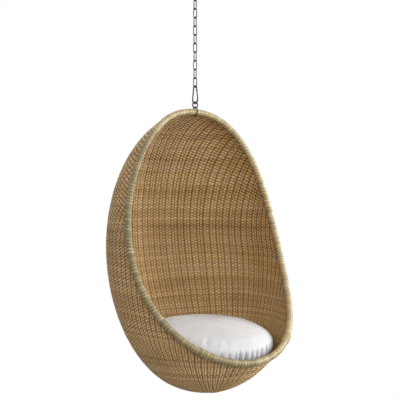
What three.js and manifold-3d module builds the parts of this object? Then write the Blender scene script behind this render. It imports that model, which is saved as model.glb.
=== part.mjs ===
// A hanging egg chair in woven rattan: a ceiling fitting, an eleven-link chain, a snap hook, a ring and
// a loop carry an egg-shaped basket with a bound rim, and a round cushion lies in its seat.
// Millimetres, +Z up, opening towards -Y. The origin is on the ceiling fitting's top face.
import * as THREE from "three";
import { mergeVertices } from "three/addons/utils/BufferGeometryUtils.js";
import Module from "manifold-3d";

const wasm = await Module();
wasm.setup();

const DEG = Math.PI / 180;

// ---- driving dimensions, in millimetres ----
const GAP = 0.3; // running clearance between pieces that touch

const PLATE_RADIUS = 45;
const PLATE_THICK = 8;
const SCREW_CIRCLE = 31; // radius of the circle of screw holes
const SCREW_HOLE = 2.75;
const SOCKET_DEPTH = 6; // blind socket for the eye's stem
const STEM_RADIUS = 4;
const NUT_ACROSS = 14;
const NUT_HEIGHT = 7;
const EYE_WIRE = 3.5; // wire radii from here on
const EYE_RADIUS = 15; // centreline radius of the eye
const EYE_CENTRE_Z = -38;

const LINK_COUNT = 11;
const LINK_WIRE = 2.5;
const LINK_INNER_LENGTH = 39.6;
const LINK_INNER_WIDTH = 12;

const HOOK_WIRE = 3.5;
const HOOK_INNER_LENGTH = 72.8;
const HOOK_TOP_RADIUS = 11; // centreline radius of the narrow end
const HOOK_BOTTOM_RADIUS = 19; // centreline radius of the wide end
const GATE_WIRE = 3;
const PIN_RADIUS = 1.1;
const TONGUE_HALF = 1.2; // half thickness of the hook's tongue between the gate's cheeks

const RING_WIRE = 3;
const RING_INNER_RADIUS = 11;

const LOOP_WIRE = 2.5;
const LOOP_INNER_RADIUS = 15;

const EGG_HALF_WIDTH = 411; // to the shell's outer face
const EGG_HEIGHT = 1242;
const EGG_SLENDER = 0.043; // how far the widest level lies below the middle
const EGG_BLUNT = 0.911; // below 1 the two ends are blunter than an ellipse
const BACK_DEPTH = 347;
const BACK_HIGH = 0.206; // the back is fuller towards the top
const FRONT_DEPTH = 679;
const FRONT_HIGH = 0.343;
const SHELL_OUT = 1.5; // shell faces, measured outwards from the egg surface
const SHELL_IN = -9.5;
const SHELL_CLEAR = 1.2; // from the rim pole to the shell's edge
const NOTCH_HALF = 8; // half width of the slot that lets the loop through the shell
const NOTCH_DEPTH = 30;
const HANG_OFFSET = 22; // the chain's line behind the egg's own middle, which balances it

const POLE_RADIUS = 11;
const BIND_IN = POLE_RADIUS + GAP;
const BIND_OUT = 13.9;
const BIND_OPEN = [-48, 16]; // the binding is open here, towards the shell's edge, in degrees
const LASH_IN = BIND_OUT + GAP;
const LASH_OUT = 15.6;
const KNUCKLE_OUT = 16.8;
const RIM_STEPS = 72; // even steps around the rim, counted from the top down the right side
const KNUCKLE_STEP = 30.4; // where the arch and the lip meet
const SPLICE_STEP = { right: 9.2, left: 5.6 };
const LASH_HALF = 0.55; // half length of a lashing, in rim steps

const CUSHION_Y = -84; // behind the egg's own middle
const CUSHION_TOP = -943; // below the rim pole's axis
const CUSHION_PROFILE = [
  [120, 1.5],
  [205, 8],
  [255, 20],
  [280, 38],
  [287, 63],
  [281, 94],
  [260, 117],
  [210, 134],
  [112, 143],
]; // radius and depth below the crown
const CUSHION_THICK = 146;

// ---- levels, from the ceiling down: the inner top face of each piece that hangs ----
const linkPitch = LINK_INNER_LENGTH - GAP;
const linkTop = EYE_CENTRE_Z - EYE_RADIUS + EYE_WIRE + GAP;
const hookTop = linkTop - LINK_COUNT * linkPitch;
const ringTop = hookTop - HOOK_INNER_LENGTH + GAP;
const loopTop = ringTop - 2 * RING_INNER_RADIUS + GAP;
const rimTop = ringTop - 2 * RING_INNER_RADIUS - 2 * RING_WIRE - 2 * GAP; // top of the bound rim
const poleAxisZ = rimTop - BIND_OUT; // the egg surface starts at the rim pole's centreline
const loopInnerLength = loopTop - poleAxisZ + BIND_OUT + 2 * GAP;

const root = new THREE.Group();
root.name = "hanging_egg_chair";

// ---- materials ----
function metal(colour, roughness) {
  return new THREE.MeshStandardMaterial({ color: colour, roughness, metalness: 1 });
}

function matte(colour, roughness) {
  return new THREE.MeshStandardMaterial({ color: colour, roughness, metalness: 0 });
}

const steel = metal(0x6e6d68, 0.42);
const darkSteel = metal(0x4a4945, 0.45);
const poleCane = matte(0xb99b6b, 0.6);
const weaveCane = matte(0xa8834f, 0.65);
const bindingCane = matte(0xcdbb90, 0.55);
const cotton = matte(0xdcdad8, 0.9);

// ---- solids ----
function solidOf(geometry) {
  const bare = new THREE.BufferGeometry();
  const flat = geometry.index ? geometry.toNonIndexed() : geometry;
  bare.setAttribute("position", flat.getAttribute("position"));
  const welded = mergeVertices(bare, 1e-4);
  return new wasm.Manifold(
    new wasm.Mesh({
      numProp: 3,
      vertProperties: new Float32Array(welded.attributes.position.array),
      triVerts: new Uint32Array(welded.index.array),
    }),
  );
}

function geometryOf(solid) {
  const mesh = solid.getMesh();
  const geometry = new THREE.BufferGeometry();
  geometry.setAttribute("position", new THREE.BufferAttribute(mesh.vertProperties, 3));
  geometry.setIndex(new THREE.BufferAttribute(mesh.triVerts, 1));
  return geometry;
}

function cut(body, ...tools) {
  return geometryOf(tools.reduce((left, tool) => left.subtract(solidOf(tool)), solidOf(body)));
}

function join(...bodies) {
  return geometryOf(bodies.map(solidOf).reduce((all, body) => all.add(body)));
}

function add(name, geometry, material, parent = root) {
  const smooth = geometry.clone();
  smooth.computeVertexNormals();
  const mesh = new THREE.Mesh(smooth, material);
  mesh.name = name;
  parent.add(mesh);
  return mesh;
}

// A closed surface over a grid of points. Rows close on themselves; the ends are capped or joined.
function skin(rows, loop) {
  const across = rows[0].length;
  const points = rows.flat();
  const index = [];
  const last = loop ? rows.length : rows.length - 1;
  for (let i = 0; i < last; i++) {
    const next = (i + 1) % rows.length;
    for (let j = 0; j < across; j++) {
      const k = (j + 1) % across;
      const [a, b] = [i * across + j, i * across + k];
      const [c, d] = [next * across + k, next * across + j];
      index.push(a, b, c, a, c, d);
    }
  }
  if (!loop) {
    const end = (rows.length - 1) * across;
    const outline = rows[0].map((_, j) => j);
    for (const [p, q, r] of capTriangles(rows[0])) {
      index.push(outline[p], outline[r], outline[q], end + p, end + q, end + r);
    }
  }
  const geometry = new THREE.BufferGeometry().setFromPoints(points);
  geometry.setIndex(index);
  return outward(geometry);
}

// Triangles over a flat outline in space, from its own plane.
function capTriangles(outline) {
  const middle = outline.reduce((sum, p) => sum.add(p), new THREE.Vector3());
  middle.divideScalar(outline.length);
  const normal = new THREE.Vector3();
  outline.forEach((p, j) => {
    const q = outline[(j + 1) % outline.length];
    normal.add(p.clone().sub(middle).cross(q.clone().sub(middle)));
  });
  normal.normalize();
  const right = outline[0].clone().sub(middle);
  right.addScaledVector(normal, -right.dot(normal)).normalize();
  const up = normal.clone().cross(right);
  const flat = outline.map((p) => {
    const arm = p.clone().sub(middle);
    return new THREE.Vector2(arm.dot(right), arm.dot(up));
  });
  return THREE.ShapeUtils.triangulateShape(flat, []);
}

// Turns a closed surface inside out if its faces point inwards.
function outward(geometry) {
  const position = geometry.attributes.position;
  const index = geometry.index.array;
  const [a, b, c] = [new THREE.Vector3(), new THREE.Vector3(), new THREE.Vector3()];
  let volume = 0;
  for (let i = 0; i < index.length; i += 3) {
    a.fromBufferAttribute(position, index[i]);
    b.fromBufferAttribute(position, index[i + 1]);
    c.fromBufferAttribute(position, index[i + 2]);
    volume += a.dot(b.cross(c));
  }
  if (volume < 0) {
    for (let i = 0; i < index.length; i += 3) {
      [index[i], index[i + 1]] = [index[i + 1], index[i]];
    }
  }
  return geometry;
}

// A round wire along a path that lies in a plane with the given normal.
function wire(path, radius, sides, normal, loop) {
  const rows = path.map((point, i) => {
    const before = loop ? path.at(i - 1) : path[Math.max(i - 1, 0)];
    const after = loop ? path[(i + 1) % path.length] : path[Math.min(i + 1, path.length - 1)];
    const along = after.clone().sub(before).normalize();
    const side = normal.clone().cross(along);
    return Array.from({ length: sides }, (_, j) => {
      const turn = (2 * Math.PI * (j + 0.5)) / sides;
      return point
        .clone()
        .addScaledVector(side, radius * Math.cos(turn))
        .addScaledVector(normal, radius * Math.sin(turn));
    });
  });
  return skin(rows, loop);
}

function cylinder(radius, length, sides = 24) {
  return new THREE.CylinderGeometry(radius, radius, length, sides);
}

// A cylinder along X through a point.
function crossPin(radius, length, y, z, sides = 16) {
  return cylinder(radius, length, sides).rotateZ(Math.PI / 2).translate(0, y, z);
}

const PLANE_XZ = new THREE.Vector3(0, 1, 0);
const PLANE_YZ = new THREE.Vector3(1, 0, 0);

// A point in the X-Z plane, or in the Y-Z plane.
function inPlane(normal, across, z) {
  return normal === PLANE_XZ ? new THREE.Vector3(across, 0, z) : new THREE.Vector3(0, across, z);
}

// Centreline of a loop with two round ends, its inner top face at the given level.
function roundedLoop(normal, level, innerLength, endRadius, wireRadius, steps) {
  const top = level + wireRadius - endRadius;
  const bottom = level - innerLength - wireRadius + endRadius;
  const path = [];
  for (let i = 0; i <= steps; i++) {
    const turn = (Math.PI * i) / steps;
    const [x, z] = [endRadius * Math.cos(turn), top + endRadius * Math.sin(turn)];
    path.push(inPlane(normal, x, z));
  }
  for (let i = 0; i <= steps; i++) {
    const turn = Math.PI + (Math.PI * i) / steps;
    const [x, z] = [endRadius * Math.cos(turn), bottom + endRadius * Math.sin(turn)];
    path.push(inPlane(normal, x, z));
  }
  return path;
}

// ---- ceiling fitting ----
function ceilingPlate() {
  const body = cylinder(PLATE_RADIUS, PLATE_THICK, 32).rotateX(Math.PI / 2);
  body.translate(0, 0, -PLATE_THICK / 2);
  const socket = cylinder(STEM_RADIUS + GAP, SOCKET_DEPTH + 1).rotateX(Math.PI / 2);
  socket.translate(0, 0, -PLATE_THICK - 1 + (SOCKET_DEPTH + 1) / 2);
  const holes = [45, 135, 225, 315].flatMap((angle) => {
    const [x, y] = [Math.cos(angle * DEG), Math.sin(angle * DEG)].map((v) => v * SCREW_CIRCLE);
    const hole = cylinder(SCREW_HOLE, PLATE_THICK + 2, 12).rotateX(Math.PI / 2);
    const sink = new THREE.CylinderGeometry(2 * SCREW_HOLE, SCREW_HOLE, 3, 12);
    sink.rotateX(-Math.PI / 2).translate(0, 0, -PLATE_THICK / 2 + 1.4);
    return [hole, sink].map((tool) => tool.translate(x, y, -PLATE_THICK / 2));
  });
  return cut(body, socket, ...holes);
}

function ceilingEye() {
  const ring = [];
  const steps = 20;
  for (let i = 0; i < steps; i++) {
    const turn = (2 * Math.PI * i) / steps;
    ring.push(
      inPlane(PLANE_YZ, EYE_RADIUS * Math.cos(turn), EYE_CENTRE_Z + EYE_RADIUS * Math.sin(turn)),
    );
  }
  const stemTop = -PLATE_THICK + SOCKET_DEPTH - GAP;
  const stemFoot = EYE_CENTRE_Z + EYE_RADIUS;
  const stem = cylinder(STEM_RADIUS, stemTop - stemFoot).rotateX(Math.PI / 2);
  stem.translate(0, 0, (stemTop + stemFoot) / 2);
  return join(wire(ring, EYE_WIRE, 8, PLANE_YZ, true), stem);
}

function eyeNut() {
  const nut = cylinder(NUT_ACROSS / 2 / Math.cos(30 * DEG), NUT_HEIGHT, 6);
  nut.rotateX(Math.PI / 2).translate(0, 0, -PLATE_THICK - GAP - NUT_HEIGHT / 2);
  const bore = cylinder(STEM_RADIUS + GAP, NUT_HEIGHT * 2).rotateX(Math.PI / 2);
  bore.translate(0, 0, -PLATE_THICK - NUT_HEIGHT / 2);
  return cut(nut, bore);
}

// ---- chain, ring and loop ----
function chainLink(number) {
  const normal = number % 2 ? PLANE_XZ : PLANE_YZ;
  const top = linkTop - (number - 1) * linkPitch;
  const endRadius = LINK_INNER_WIDTH / 2 + LINK_WIRE;
  const path = roundedLoop(normal, top, LINK_INNER_LENGTH, endRadius, LINK_WIRE, 8);
  return wire(path, LINK_WIRE, 6, normal, true);
}

function liftingRing() {
  const radius = RING_INNER_RADIUS + RING_WIRE;
  const path = roundedLoop(PLANE_XZ, ringTop, 2 * RING_INNER_RADIUS, radius, RING_WIRE, 12);
  path.splice(12, 1);
  path.pop();
  return wire(path, RING_WIRE, 10, PLANE_XZ, true);
}

function rimLoop() {
  const radius = LOOP_INNER_RADIUS + LOOP_WIRE;
  const path = roundedLoop(PLANE_YZ, loopTop, loopInnerLength, radius, LOOP_WIRE, 10);
  return wire(path, LOOP_WIRE, 8, PLANE_YZ, true);
}

// ---- snap hook ----
const hookTopZ = hookTop + HOOK_WIRE - HOOK_TOP_RADIUS; // centres of the two round ends
const hookBottomZ = hookTop - HOOK_INNER_LENGTH - HOOK_WIRE + HOOK_BOTTOM_RADIUS;
const hookFlare = Math.asin((HOOK_BOTTOM_RADIUS - HOOK_TOP_RADIUS) / (hookTopZ - hookBottomZ));

// A point of the gate's side, from the pivot end (0) to the nose (1).
function gateLine(share) {
  const top = new THREE.Vector3(0, -Math.cos(hookFlare), Math.sin(hookFlare));
  const high = top.clone().multiplyScalar(HOOK_TOP_RADIUS).setZ(top.z * HOOK_TOP_RADIUS + hookTopZ);
  const low = top.clone().multiplyScalar(HOOK_BOTTOM_RADIUS);
  low.z += hookBottomZ;
  return high.lerp(low, share);
}

const GATE_PIVOT = 0.16; // shares along the gate's side
const GATE_NOSE = 0.94;
const pivot = gateLine(GATE_PIVOT);

function tongueZone(half) {
  const zone = new THREE.BoxGeometry(half * 2, 14, 13);
  return zone.translate(0, pivot.y, pivot.z - 1.5);
}

function snapHook() {
  const path = [gateLine(GATE_PIVOT + 0.07), gateLine(0.02)];
  const steps = 9;
  for (let i = 0; i <= steps; i++) {
    const turn = Math.PI - hookFlare - ((Math.PI - 2 * hookFlare) * i) / steps;
    path.push(
      inPlane(PLANE_YZ, HOOK_TOP_RADIUS * Math.cos(turn), hookTopZ + HOOK_TOP_RADIUS * Math.sin(turn)),
    );
  }
  for (let i = 0; i <= 14; i++) {
    const turn = hookFlare - ((Math.PI + 2 * hookFlare) * i) / 14;
    path.push(
      inPlane(
        PLANE_YZ,
        HOOK_BOTTOM_RADIUS * Math.cos(turn),
        hookBottomZ + HOOK_BOTTOM_RADIUS * Math.sin(turn),
      ),
    );
  }
  path.push(gateLine(GATE_NOSE + 0.01));
  path.splice(2, 1);
  const body = wire(path, HOOK_WIRE, 12, PLANE_YZ, false);
  const cheeks = [-1, 1].map((side) =>
    tongueZone(4).translate(side * (4 + TONGUE_HALF), 0, 0),
  );
  return cut(body, ...cheeks, crossPin(PIN_RADIUS + 0.15, 20, pivot.y, pivot.z));
}

function hookGate() {
  const path = [gateLine(GATE_PIVOT - 0.06), gateLine(GATE_NOSE)];
  const bar = wire(path, GATE_WIRE, 12, PLANE_YZ, false);
  const slot = tongueZone(TONGUE_HALF + GAP).translate(0, 0, 1.4);
  const topClear = new THREE.BoxGeometry(20, 20, 10);
  topClear.translate(0, pivot.y, pivot.z + 5 + 3.1);
  return cut(bar, slot, topClear, crossPin(PIN_RADIUS + 0.15, 20, pivot.y, pivot.z));
}

function gatePin() {
  return crossPin(PIN_RADIUS, 2 * GATE_WIRE - 0.6, pivot.y, pivot.z);
}

// ---- egg surface, in the egg's own frame ----
// Level 0 is the top and pi the bottom; turn 0 is the right side, 90 degrees the back.
function bulge(level, tilt) {
  return Math.sin(level) ** EGG_BLUNT * (1 + tilt * Math.cos(level));
}

const widest = Math.max(
  ...Array.from({ length: 181 }, (_, i) => bulge(i * DEG, -EGG_SLENDER)),
);

function share(level) {
  return (1 - Math.cos(level)) / 2;
}

function middleY(level) {
  const s = share(level);
  return 164 * s - 213 * s * s;
}

function rimY(level) {
  const s = share(level);
  return -147 * s + 322 * s * s - 822 * s ** 3 + HANG_OFFSET * (1 - s) ** 10;
}

function depth(level, behind) {
  return behind ? BACK_DEPTH * bulge(level, BACK_HIGH) : FRONT_DEPTH * bulge(level, FRONT_HIGH);
}

function eggPoint(level, turn) {
  return new THREE.Vector3(
    (EGG_HALF_WIDTH / widest) * bulge(level, -EGG_SLENDER) * Math.cos(turn),
    middleY(level) + depth(level, Math.sin(turn) > 0) * Math.sin(turn) - HANG_OFFSET,
    poleAxisZ - EGG_HEIGHT * share(level),
  );
}

// The point of the egg surface in a direction of the unit sphere.
function eggAt(direction) {
  const level = Math.acos(THREE.MathUtils.clamp(direction.z, -1, 1));
  return eggPoint(level, Math.atan2(direction.y, direction.x));
}

function eggNormal(direction) {
  const step = 0.01;
  const [side, lift] = [new THREE.Vector3(), new THREE.Vector3()];
  const helper = Math.abs(direction.z) > 0.8 ? new THREE.Vector3(0, 1, 0) : new THREE.Vector3(0, 0, 1);
  side.crossVectors(helper, direction).normalize();
  lift.crossVectors(direction, side);
  const moved = (arm, by) => eggAt(direction.clone().addScaledVector(arm, by).normalize());
  const alongSide = moved(side, step).sub(moved(side, -step));
  const alongLift = moved(lift, step).sub(moved(lift, -step));
  return alongSide.cross(alongLift).normalize();
}

// Where the rim crosses a level, as a turn on the right side.
function rimTurn(level) {
  const out = rimY(level) - middleY(level);
  return Math.asin(THREE.MathUtils.clamp(out / depth(level, out > 0), -1, 1));
}

function sphereDirection(level, turn) {
  const ring = Math.sin(level);
  return new THREE.Vector3(ring * Math.cos(turn), ring * Math.sin(turn), Math.cos(level));
}

// Directions to the rim, evenly spaced along it from the top, down the right side and back up the left.
function rimDirections(count) {
  const fine = 2000;
  const half = [];
  for (let i = 1; i <= fine; i++) {
    const level = (Math.PI * i) / fine;
    const turn = rimTurn(level);
    if (turn >= Math.PI / 2 - 1e-6) continue;
    if (half.length === 0) half.push(sphereDirection(level, Math.PI / 2));
    half.push(sphereDirection(level, turn));
    if (turn <= -Math.PI / 2 + 1e-6) break;
  }
  const points = half.map(eggAt);
  const lengths = [0];
  for (let i = 1; i < points.length; i++) {
    lengths.push(lengths[i - 1] + points[i].distanceTo(points[i - 1]));
  }
  const total = lengths.at(-1);
  const right = [];
  for (let k = 0, i = 0; k <= count / 2; k++) {
    const wanted = (total * k) / (count / 2);
    while (i < lengths.length - 2 && lengths[i + 1] < wanted) i++;
    const mix = (wanted - lengths[i]) / (lengths[i + 1] - lengths[i]);
    right.push(half[i].clone().lerp(half[i + 1], THREE.MathUtils.clamp(mix, 0, 1)).normalize());
  }
  const left = right.slice(1, -1).reverse();
  return [...right, ...left.map((d) => new THREE.Vector3(-d.x, d.y, d.z))];
}

const rim = rimDirections(RIM_STEPS);
const rimLine = rim.map(eggAt);
const shellMiddle = new THREE.Vector3(0, Math.cos(12 * DEG), -Math.sin(12 * DEG));

// A direction on the way from the shell's middle (0) to the rim (1).
function towardsRim(rimDirection, way) {
  const angle = shellMiddle.angleTo(rimDirection);
  const [from, to] = [Math.sin((1 - way) * angle), Math.sin(way * angle)];
  return shellMiddle.clone().multiplyScalar(from).addScaledVector(rimDirection, to).normalize();
}

// The rim's direction at any step, whole or not.
function rimDirection(step) {
  const place = (step + RIM_STEPS) % RIM_STEPS;
  const low = Math.floor(place);
  return rim[low].clone().lerp(rim[(low + 1) % RIM_STEPS], place - low).normalize();
}

// A rim point with its axes into the shell and out of the surface.
function rimFrame(step) {
  const direction = rimDirection(step);
  const point = eggAt(direction);
  const along = eggAt(rimDirection(step + 0.5)).sub(eggAt(rimDirection(step - 0.5))).normalize();
  const out = eggNormal(direction);
  out.addScaledVector(along, -out.dot(along)).normalize();
  return { point, inward: out.clone().cross(along), out };
}

function wovenShell() {
  const rings = 12;
  const faces = [SHELL_OUT, SHELL_IN].map((offset) => {
    const rows = [];
    for (let r = 1; r <= rings; r++) {
      rows.push(
        rim.map((direction, i) => {
          const reach = rimLine[i].distanceTo(eggAt(towardsRim(direction, 0.97))) / 0.03;
          const edge = 1 - (POLE_RADIUS + SHELL_CLEAR) / reach;
          const d = towardsRim(direction, (edge * r) / rings);
          return eggAt(d).addScaledVector(eggNormal(d), offset);
        }),
      );
    }
    return rows;
  });
  const middles = [SHELL_OUT, SHELL_IN].map((offset) =>
    eggAt(shellMiddle).addScaledVector(eggNormal(shellMiddle), offset),
  );
  const points = [...faces.flat(2), ...middles];
  const across = rim.length;
  const inner = rings * across;
  const index = [];
  for (let j = 0; j < across; j++) {
    const k = (j + 1) % across;
    index.push(points.length - 2, j, k, points.length - 1, inner + k, inner + j);
    for (let r = 0; r < rings - 1; r++) {
      const [a, b] = [r * across + j, r * across + k];
      const [c, d] = [b + across, a + across];
      index.push(a, d, c, a, c, b);
      index.push(inner + a, inner + c, inner + d, inner + a, inner + b, inner + c);
    }
    const [p, q] = [(rings - 1) * across + j, (rings - 1) * across + k];
    index.push(p, inner + p, inner + q, p, inner + q, q);
  }
  const geometry = new THREE.BufferGeometry().setFromPoints(points);
  geometry.setIndex(index);
  const notch = new THREE.BoxGeometry(2 * NOTCH_HALF, NOTCH_DEPTH, 60);
  notch.translate(0, NOTCH_DEPTH / 2, poleAxisZ);
  return cut(outward(geometry), notch);
}

// ---- rim: poles, binding and lashings ----
// Even places from one rim step to another; negative steps are on the left side.
function span(from, to, count) {
  return Array.from({ length: count + 1 }, (_, i) => from + ((to - from) * i) / count);
}

// Pulls the first and last rows back along the span, so that two pieces in line don't touch.
function trimEnds(rows) {
  const pull = (row, next) =>
    row.forEach((p, j) => p.addScaledVector(next[j].clone().sub(p).normalize(), GAP));
  pull(rows[0], rows[1]);
  pull(rows.at(-1), rows.at(-2));
  return rows;
}

// A bar along the rim whose section is given as [radius, angle] pairs; angle 0 points into the shell.
function alongRim(places, section) {
  const rows = places.map((place) => {
    const { point, inward, out } = rimFrame(place);
    return section.map(([radius, angle]) =>
      point
        .clone()
        .addScaledVector(inward, radius * Math.cos(angle * DEG))
        .addScaledVector(out, radius * Math.sin(angle * DEG)),
    );
  });
  return skin(trimEnds(rows), false);
}

function pole(places) {
  const section = Array.from({ length: 10 }, (_, j) => [POLE_RADIUS, 36 * j]);
  return alongRim(places, section);
}

// A wrap around the rim, open towards the shell's edge.
function wrap(places, innerRadius, outerRadius) {
  const sides = 10;
  const [low, high] = BIND_OPEN;
  const side = (360 - high + low) / sides;
  const turns = Array.from({ length: sides + 1 }, (_, j) => high + side * j);
  const outer = turns.map((turn) => [outerRadius, turn]);
  const flat = innerRadius / Math.cos((side / 2) * DEG); // keeps the flats clear of what is inside
  const inner = turns.map((turn) => [flat, turn]).reverse();
  return alongRim(places, [...outer, ...inner]);
}

// ---- cushion ----
function cushion() {
  const crown = CUSHION_TOP + poleAxisZ;
  const profile = [new THREE.Vector2(0, crown - CUSHION_THICK)];
  for (const [radius, depth] of [...CUSHION_PROFILE].reverse()) {
    profile.push(new THREE.Vector2(radius, crown - depth));
  }
  profile.push(new THREE.Vector2(0, crown));
  const body = new THREE.LatheGeometry(profile, 40).rotateX(Math.PI / 2);
  return body.translate(0, CUSHION_Y - HANG_OFFSET, 0);
}

// ---- assembly ----
const fitting = new THREE.Group();
const hanger = new THREE.Group();
const egg = new THREE.Group();
root.add(fitting, hanger, egg);

add("ceiling_plate", ceilingPlate(), steel, fitting);
add("ceiling_eye", ceilingEye(), steel, fitting);
add("eye_nut", eyeNut(), steel, fitting);

for (let number = 1; number <= LINK_COUNT; number++) {
  add(`chain_link_${String(number).padStart(2, "0")}`, chainLink(number), steel, hanger);
}
add("snap_hook", snapHook(), darkSteel, hanger);
add("hook_gate", hookGate(), darkSteel, hanger);
add("gate_pin", gatePin(), steel, hanger);
add("lifting_ring", liftingRing(), darkSteel, hanger);
add("rim_loop", rimLoop(), darkSteel, hanger);

add("woven_shell", wovenShell(), weaveCane, egg);
const archSteps = Math.round(KNUCKLE_STEP);
const lipSteps = Math.round(RIM_STEPS - 2 * KNUCKLE_STEP);
const rightSide = span(0, KNUCKLE_STEP, archSteps);
const leftSide = span(-KNUCKLE_STEP, 0, archSteps);
const lip = span(KNUCKLE_STEP, RIM_STEPS - KNUCKLE_STEP, lipSteps);
add("rim_pole_arch", pole(span(-KNUCKLE_STEP, KNUCKLE_STEP, 2 * archSteps)), poleCane, egg);
add("rim_pole_lip", pole(lip), poleCane, egg);
add("binding_arch_right", wrap(rightSide, BIND_IN, BIND_OUT), bindingCane, egg);
add("binding_arch_left", wrap(leftSide, BIND_IN, BIND_OUT), bindingCane, egg);
add("binding_lip", wrap(lip, BIND_IN, BIND_OUT), bindingCane, egg);
for (const [name, side] of Object.entries({ right: 1, left: -1 })) {
  const around = (step) => span(side * step - LASH_HALF, side * step + LASH_HALF, 2);
  const knuckle = wrap(around(KNUCKLE_STEP), LASH_IN, KNUCKLE_OUT);
  const splice = wrap(around(SPLICE_STEP[name]), LASH_IN, LASH_OUT);
  add(`knuckle_lashing_${name}`, knuckle, bindingCane, egg);
  add(`splice_lashing_${name}`, splice, bindingCane, egg);
}
add("seat_cushion", cushion(), cotton, egg);

export default root;
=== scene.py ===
"""A hanging egg chair: woven rattan shell, bound rim, seat cushion, chain, hook, ring and loop.

Lengths in this script are millimetres unless a name says otherwise. Points are turned into metres
when a mesh is made. The egg's formulas and sizes are the ones the CAD model is made from.
"""
import math

import bpy
import numpy as np
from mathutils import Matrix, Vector


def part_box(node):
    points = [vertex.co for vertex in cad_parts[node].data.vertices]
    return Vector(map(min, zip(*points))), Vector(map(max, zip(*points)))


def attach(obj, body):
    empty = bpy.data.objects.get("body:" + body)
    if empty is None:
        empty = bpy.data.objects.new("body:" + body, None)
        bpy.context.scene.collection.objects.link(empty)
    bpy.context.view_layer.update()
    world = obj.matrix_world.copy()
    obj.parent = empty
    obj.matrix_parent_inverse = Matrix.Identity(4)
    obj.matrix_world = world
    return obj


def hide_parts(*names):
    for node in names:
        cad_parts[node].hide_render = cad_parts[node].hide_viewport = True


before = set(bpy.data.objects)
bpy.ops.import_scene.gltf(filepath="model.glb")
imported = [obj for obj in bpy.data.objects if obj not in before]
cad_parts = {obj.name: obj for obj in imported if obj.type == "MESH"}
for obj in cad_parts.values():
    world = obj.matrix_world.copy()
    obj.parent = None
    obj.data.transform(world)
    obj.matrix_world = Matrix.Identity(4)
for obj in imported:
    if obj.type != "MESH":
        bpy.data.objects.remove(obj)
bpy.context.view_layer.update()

MM = 0.001
DEG = math.pi / 180
UP = np.array([0.0, 0.0, 1.0])
ALONG_X = np.array([1.0, 0.0, 0.0])
ALONG_Y = np.array([0.0, 1.0, 0.0])

# ---- camera, in metres and degrees ----
CAMERA_PLACE = (-1.7215, -2.3774, -0.9966)
CAMERA_TURN = -36.34
CAMERA_LENS = 58.1
FLOOR_LEVEL = -2.35

# ---- light, in metres and watts ----
WORLD_LIGHT = 0.85
FLOOR_GREY = (0.3, 0.3, 0.3)
KEY_PLACE, KEY_SIZE, KEY_POWER = (2.6, -1.9, -0.4), 1.3, 130
FRONT_PLACE, FRONT_SIZE, FRONT_POWER = (-1.3, -3.3, 0.0), 2.0, 80
LIGHT_AIM = (0.0, 0.0, -1.2)

# ---- egg surface ----
POLE_AXIS_Z = -596.5
EGG_HALF_WIDTH = 411.0
EGG_HEIGHT = 1242.0
EGG_SLENDER = 0.043  # how much the egg's width narrows towards the top
EGG_BLUNT = 0.911  # 1 gives an ellipse, less gives blunter ends
BACK_DEPTH, BACK_HIGH = 347.0, 0.206
FRONT_DEPTH, FRONT_HIGH = 679.0, 0.343
# The next two are lines seen from the side, as factors of the rising powers of the drop's share.
MIDDLE_LINE = (164.0, -213.0)  # where the front half meets the back half
RIM_LINE = (-147.0, 322.0, -822.0)
HANG_OFFSET = 22.0  # the chain stands this far behind the egg's own axis
MID_SURFACE = -4.0  # the weave's middle, measured outwards from the egg surface

# ---- weave ----
STAKE_COUNT = 80  # on each side, from the back's centre line to the front's
STAKE_RADIUS, STAKE_WIDTH = 2.5, 3.2  # half sizes through the wall and along it
PAIR_SHIFT = 0.11  # stakes stand in pairs: each is moved this share of the pitch to its partner
WEAVER_RADIUS = 2.35
WEAVER_PAIR = 2.05  # half distance between the two strands of a row
ROW_PITCH = 7.0
ROWS_IN_PIECE = 12
WEAVER_SWING = 3.0  # how far a weaver goes each way round the stakes
RIM_REACH = 11.6  # weavers and stakes stop this far from the rim pole's centre line
FOOT_TILT = 8.6 * DEG  # the stakes meet under the seat, in front of the egg's lowest point
GROUP_RADII = (190.0, 95.0, 48.0)  # rings inside which the stakes go in twos, fours and eights
FOOT_RADIUS = 15.0  # of the last weaver's row
UPRIGHT_LEAN = 1.7  # 1 keeps the upper stakes in upright planes, more spreads them outwards
FRONT_PITCH = 310.0  # the stakes' spacing in front is even in angle, as on a ring of this radius
FRONT_SHADE = 1.3  # the painted shade in the gaps under the front, as a share of the back's
HIGH_SHADE = 0.5  # how much darker the painted shade in the gaps is at the top
HIGH_TONE = 0.22  # how much paler the cane is at the top
WIDE_SHADE, NARROW_SHADE = 1.0, 0.65  # painted shade in the gaps between pairs and inside them

# ---- rim ----
RIM_STEPS = 72  # places round the rim are counted in these steps from the top
BIND_OUT = 13.9  # outer radius of the binding
KNUCKLE_STEP, KNUCKLE_OUT = 30.4, 16.8  # lashings where the arch meets the lip
SPLICE_STEP = {"right": 9.2, "left": 5.6}
SPLICE_OUT = 15.6
LASH_HALF = 0.55  # half length of a lashing, in steps
WRAP_PITCH, LASH_PITCH = 6.8, 5.2  # from one turn of cane to the next
BAND_SHADE = 0.3  # every second turn is darker by this tone
LEFT_SIDE_SHADE = 0.36  # painted shade: the rim's left side is darker by this tone

# ---- cushion ----
CUSHION_SHY = 2.0  # how much smaller the empty cover is than the filled one
CUSHION_CREST = 66.0  # depth of the widest line below the crown
CUSHION_SQUARE = 2.7  # 2 is an ellipse, more is squarer
CUSHION_SWELL = 5.0  # the furthest that the filling pushes the cover
FOLD_COUNT = 54
FOLD_DEPTH = 38.0  # of the deepest fold
FOLD_SIDE = -60 * DEG  # where round the cushion the folds reach highest
FOLD_RISE = 28.0  # how much higher they reach there
CUSHION_TIP = 4.0 * DEG  # the cushion leans towards the lip
SHELL_ROOM, LIP_ROOM = 12.0, 8.0  # clear of the egg surface, and further still near the lip

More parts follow.
